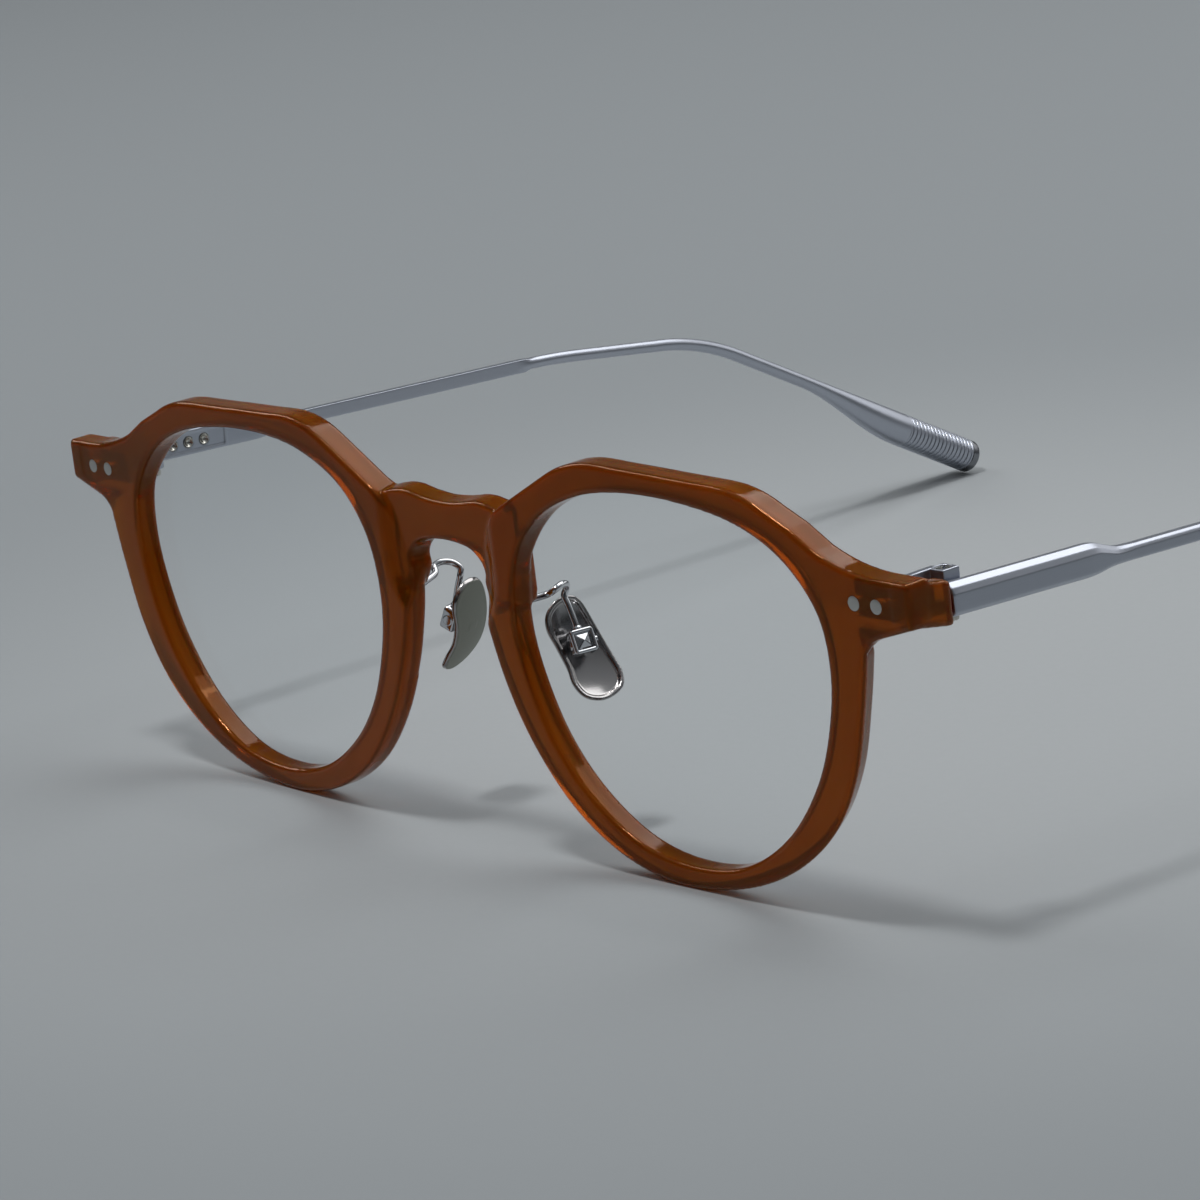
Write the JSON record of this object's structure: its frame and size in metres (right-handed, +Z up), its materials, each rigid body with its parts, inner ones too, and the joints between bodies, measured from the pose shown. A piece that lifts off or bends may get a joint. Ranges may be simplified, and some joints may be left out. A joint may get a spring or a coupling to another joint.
{
  "type": "crown panto eyeglasses",
  "caption": "Crown panto eyeglasses: round acetate rims cut flat on top, clear lenses, adjustable nose pads and slim folding metal temples with ringed ends.",
  "frame": {"origin": "middle of the bounding box at the height of the floor that the open glasses stand on", "axes": "+Z up, -Y the way the lenses face, +Y back along the temples, +X towards the wearer's left; the rims' lowest points and the temple ends rest at Z 0"},
  "size_m": [0.144, 0.1459, 0.045],
  "materials": {
    "acetate": "polished translucent amber brown acetate",
    "clear_lens": "clear, polished",
    "satin_titanium": "fine satin, bluish grey",
    "polished_steel": "polished",
    "pad_metal": "satin face, polished lip",
    "dark_metal": "dark satin, polished end"
  },
  "bodies": {
    "front": {"front_frame": "acetate", "right_lens": "clear_lens", "left_lens": "clear_lens", "right_rivets": "satin_titanium", "left_rivets": "satin_titanium", "right_front_leaf": "satin_titanium", "left_front_leaf": "satin_titanium", "right_hinge_screw": "polished_steel", "left_hinge_screw": "polished_steel", "right_hinge_nut": "polished_steel", "left_hinge_nut": "polished_steel", "right_pad_arm": "polished_steel", "left_pad_arm": "polished_steel", "right_pad_box": "polished_steel", "left_pad_box": "polished_steel", "right_pad_pin": "polished_steel", "left_pad_pin": "polished_steel"},
    "right_temple": {"right_temple_bar": "satin_titanium", "right_temple_leaf": "satin_titanium", "right_leaf_screws": "polished_steel", "right_ear_grip": "satin_titanium", "right_end_cap": "dark_metal"},
    "left_temple": {"left_temple_bar": "satin_titanium", "left_temple_leaf": "satin_titanium", "left_leaf_screws": "polished_steel", "left_ear_grip": "satin_titanium", "left_end_cap": "dark_metal"},
    "right_pad": {"right_nose_pad": "pad_metal"},
    "left_pad": {"left_nose_pad": "pad_metal"}
  },
  "joints": [
    {"name": "left_temple_fold", "type": "hinge", "parent": "front", "child": "left_temple", "pos_m": [0.06776, -0.0623, 0.03425], "axis": [0, 0, 1], "range_deg": [0, 91]},
    {"name": "right_temple_fold", "type": "hinge", "parent": "front", "child": "right_temple", "pos_m": [-0.06776, -0.0623, 0.03425], "axis": [0, 0, -1], "range_deg": [0, 86]},
    {"name": "left_pad_tilt", "type": "hinge", "parent": "front", "child": "left_pad", "pos_m": [0.011, -0.06301, 0.02142], "axis": [0.2588, 0.9653, 0.0354], "range_deg": [-5, 5]},
    {"name": "right_pad_tilt", "type": "hinge", "parent": "front", "child": "right_pad", "pos_m": [-0.011, -0.06301, 0.02142], "axis": [-0.2588, 0.9653, 0.0354], "range_deg": [-5, 5]}
  ]
}
